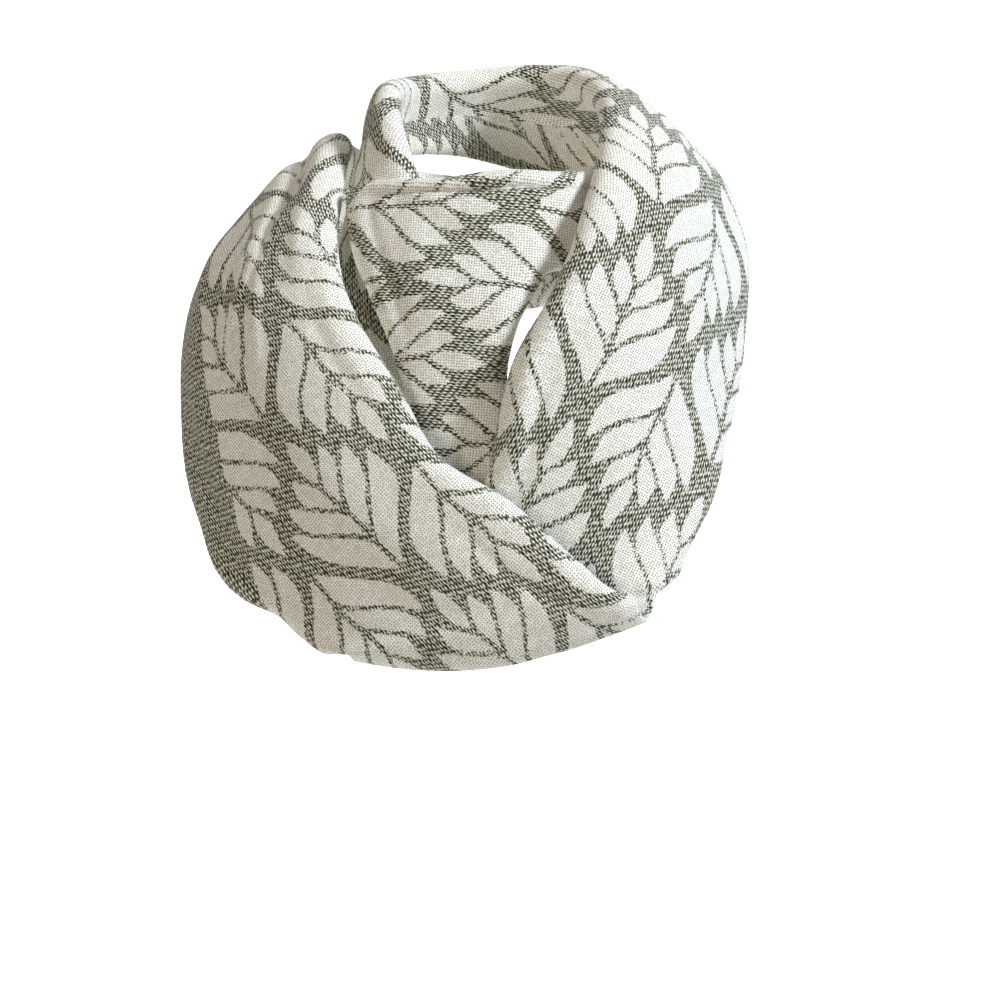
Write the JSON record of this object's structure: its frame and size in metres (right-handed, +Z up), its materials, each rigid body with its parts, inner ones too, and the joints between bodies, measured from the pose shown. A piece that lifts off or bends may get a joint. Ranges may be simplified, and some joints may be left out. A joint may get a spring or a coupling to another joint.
{
  "type": "infinity scarf, worn in two turns",
  "caption": "Looped tube scarf of leaf-patterned woven cloth, held in its worn form: doubled round an open neck, crossed low in front, with a draped inner turn.",
  "frame": {"origin": "the middle of the wearer's neck, at the level where the scarf hangs on it", "axes": "+Z up, -Y is where the wearer faces, +X is the wearer's left"},
  "size_m": [0.3037, 0.2758, 0.2888],
  "materials": {
    "jacquard_cloth": "matt woven jacquard, off-white leaves on a flecked olive ground"
  },
  "bodies": {
    "root": {"left_front": "jacquard_cloth", "right_front": "jacquard_cloth", "nape_upper": "jacquard_cloth", "left_neck": "jacquard_cloth", "front_drape": "jacquard_cloth", "right_neck": "jacquard_cloth", "nape_lower": "jacquard_cloth"}
  },
  "joints": []
}
